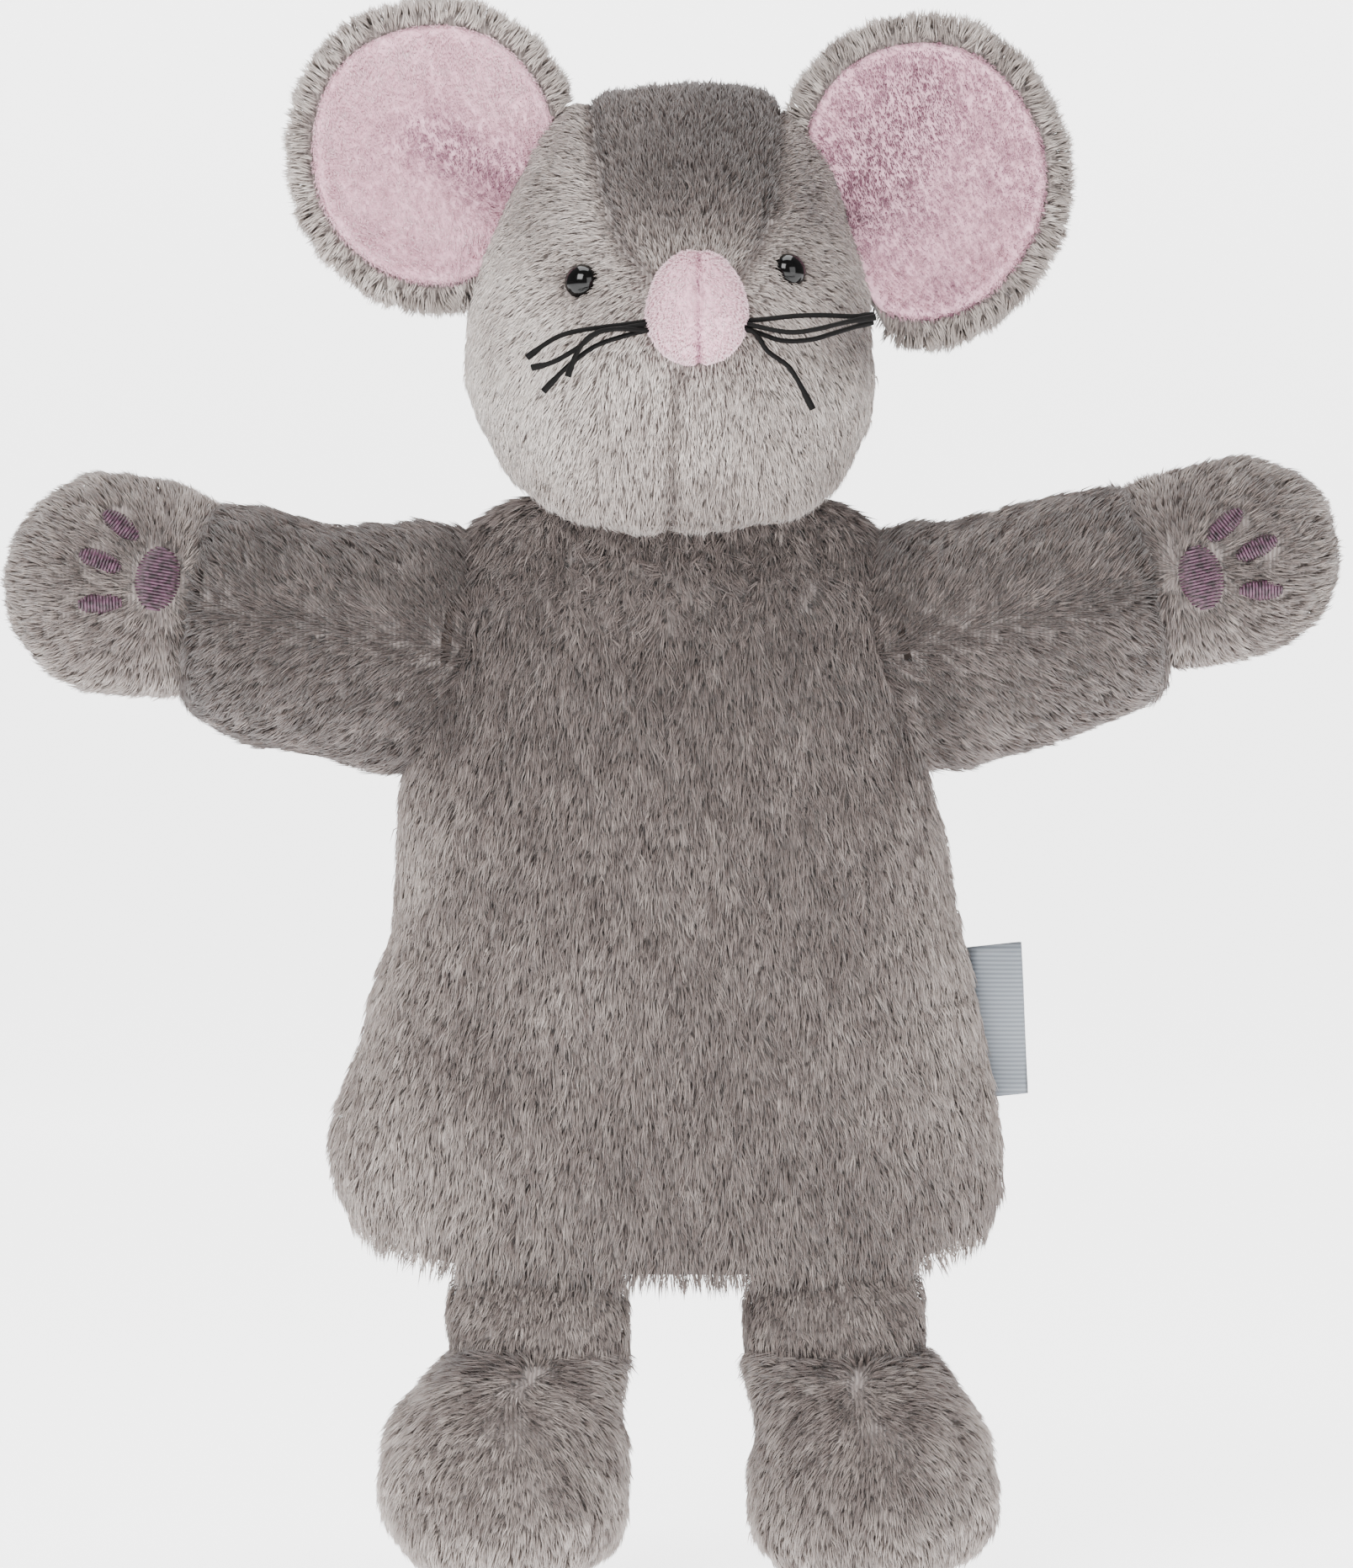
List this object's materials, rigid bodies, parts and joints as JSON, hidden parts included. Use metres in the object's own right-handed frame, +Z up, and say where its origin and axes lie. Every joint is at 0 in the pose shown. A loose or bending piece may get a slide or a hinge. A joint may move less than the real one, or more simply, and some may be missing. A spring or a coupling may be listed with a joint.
{
  "type": "mouse glove puppet",
  "caption": "Plush mouse glove puppet with an open body for the hand, a stuffed head with a finger pocket, round ears, open sleeves, stuffed paws and hanging legs.",
  "frame": {"origin": "centre of the hand opening, at the lowest line of the hem", "axes": "+Z up through the neck to the crown, -Y out of the face, +X to the right as seen from the front"},
  "size_m": [0.273, 0.0893, 0.3165],
  "materials": {
    "taupe_plush": "short fluffy polyester plush, matt, with a soft sheen on the turned pile",
    "pale_plush": "the same plush brushed the other way, so it looks paler",
    "lining_cloth": "plain woven polyester cotton",
    "bound_seam": "knitted backing, overlocked and folded",
    "wadding": "white polyester fibre",
    "nose_velour": "very short velour, matt",
    "pink_velour": "short cut velour, brushed",
    "eye_plastic": "black moulded plastic, polished",
    "woven_ribbon": "woven satin ribbon, no lettering",
    "satin_thread": "rayon embroidery thread, satin stitch",
    "whisker_thread": "stiff waxed thread"
  },
  "bodies": {
    "torso": {"body_front_panel": "taupe_plush", "body_back_panel": "taupe_plush", "lining": "lining_cloth", "woven_label": "woven_ribbon"},
    "neck_collar": {"collar_seam_ring": "bound_seam"},
    "neck_tilt": {"head_seam_ring": "bound_seam"},
    "head": {"finger_tube": "lining_cloth", "head_stuffing": "wadding", "head_left_panel": "pale_plush", "head_right_panel": "pale_plush", "head_gusset": "taupe_plush", "nose_left_half": "nose_velour", "nose_right_half": "nose_velour", "nose_stuffing": "wadding", "left_eye": "eye_plastic", "right_eye": "eye_plastic", "left_eye_washer": "eye_plastic", "right_eye_washer": "eye_plastic", "whisker_left_1": "whisker_thread", "whisker_left_2": "whisker_thread", "whisker_left_3": "whisker_thread", "whisker_left_4": "whisker_thread", "whisker_right_1": "whisker_thread", "whisker_right_2": "whisker_thread", "whisker_right_3": "whisker_thread", "whisker_right_4": "whisker_thread"},
    "left_ear": {"left_ear_back": "taupe_plush", "left_ear_front": "pink_velour"},
    "left_shoulder": {"left_armhole_seam": "bound_seam"},
    "left_arm": {"left_sleeve_front": "taupe_plush", "left_sleeve_back": "taupe_plush"},
    "left_paw": {"left_paw_palm": "taupe_plush", "left_paw_back": "taupe_plush", "left_paw_stuffing": "wadding", "left_palm_pad": "satin_thread", "left_toe_pad_1": "satin_thread", "left_toe_pad_2": "satin_thread", "left_toe_pad_3": "satin_thread"},
    "left_leg": {"left_leg_tube": "taupe_plush", "left_leg_stuffing": "wadding"},
    "left_foot": {"left_foot_upper": "taupe_plush", "left_foot_sole": "taupe_plush", "left_foot_stuffing": "wadding"},
    "right_ear": {"right_ear_back": "taupe_plush", "right_ear_front": "pink_velour"},
    "right_shoulder": {"right_armhole_seam": "bound_seam"},
    "right_arm": {"right_sleeve_front": "taupe_plush", "right_sleeve_back": "taupe_plush"},
    "right_paw": {"right_paw_palm": "taupe_plush", "right_paw_back": "taupe_plush", "right_paw_stuffing": "wadding", "right_palm_pad": "satin_thread", "right_toe_pad_1": "satin_thread", "right_toe_pad_2": "satin_thread", "right_toe_pad_3": "satin_thread"},
    "right_leg": {"right_leg_tube": "taupe_plush", "right_leg_stuffing": "wadding"},
    "right_foot": {"right_foot_upper": "taupe_plush", "right_foot_sole": "taupe_plush", "right_foot_stuffing": "wadding"}
  },
  "joints": [
    {"name": "head_turn", "type": "hinge", "parent": "torso", "child": "neck_collar", "pos_m": [0, 0, 0.154], "axis": [0, 0, 1], "range_deg": [-30, 30]},
    {"name": "head_tilt", "type": "hinge", "parent": "neck_collar", "child": "neck_tilt", "pos_m": [0, 0, 0.154], "axis": [0, 1, 0], "range_deg": [-8, 8]},
    {"name": "head_nod", "type": "hinge", "parent": "neck_tilt", "child": "head", "pos_m": [0, 0, 0.154], "axis": [1, 0, 0], "range_deg": [-15, 10]},
    {"name": "left_ear_fold", "type": "hinge", "parent": "head", "child": "left_ear", "pos_m": [-0.03124, -0.001, 0.21639], "axis": [0.4261, 0, 0.9047], "range_deg": [-25, 25], "stiffness_Nm_per_rad": 0.01},
    {"name": "left_arm_swing", "type": "hinge", "parent": "torso", "child": "left_shoulder", "pos_m": [-0.0465, 0, 0.129], "axis": [0, 0, 1], "range_deg": [-30, 30]},
    {"name": "left_arm_lift", "type": "hinge", "parent": "left_shoulder", "child": "left_arm", "pos_m": [-0.0465, 0, 0.129], "axis": [0, 1, 0], "range_deg": [-30, 30]},
    {"name": "left_wrist_flex", "type": "hinge", "parent": "left_arm", "child": "left_paw", "pos_m": [-0.09486, 0, 0.13692], "axis": [0.1616, 0, 0.9869], "range_deg": [-25, 25]},
    {"name": "left_leg_swing", "type": "hinge", "parent": "torso", "child": "left_leg", "pos_m": [-0.0278, -0.013, -0.001], "axis": [1, 0, 0], "range_deg": [-35, 35]},
    {"name": "left_ankle_flex", "type": "hinge", "parent": "left_leg", "child": "left_foot", "pos_m": [-0.0278, -0.013, -0.017], "axis": [1, 0, 0], "range_deg": [-20, 20]},
    {"name": "right_ear_fold", "type": "hinge", "parent": "head", "child": "right_ear", "pos_m": [0.03124, -0.001, 0.21639], "axis": [-0.4261, 0, 0.9047], "range_deg": [-25, 25], "stiffness_Nm_per_rad": 0.01},
    {"name": "right_arm_swing", "type": "hinge", "parent": "torso", "child": "right_shoulder", "pos_m": [0.0465, 0, 0.129], "axis": [0, 0, 1], "range_deg": [-30, 30]},
    {"name": "right_arm_lift", "type": "hinge", "parent": "right_shoulder", "child": "right_arm", "pos_m": [0.0465, 0, 0.129], "axis": [0, 1, 0], "range_deg": [-30, 30]},
    {"name": "right_wrist_flex", "type": "hinge", "parent": "right_arm", "child": "right_paw", "pos_m": [0.09168, 0, 0.14001], "axis": [-0.2368, 0, 0.9715], "range_deg": [-25, 25]},
    {"name": "right_leg_swing", "type": "hinge", "parent": "torso", "child": "right_leg", "pos_m": [0.0323, -0.013, -0.001], "axis": [1, 0, 0], "range_deg": [-35, 35]},
    {"name": "right_ankle_flex", "type": "hinge", "parent": "right_leg", "child": "right_foot", "pos_m": [0.0323, -0.013, -0.017], "axis": [1, 0, 0], "range_deg": [-20, 20]}
  ]
}
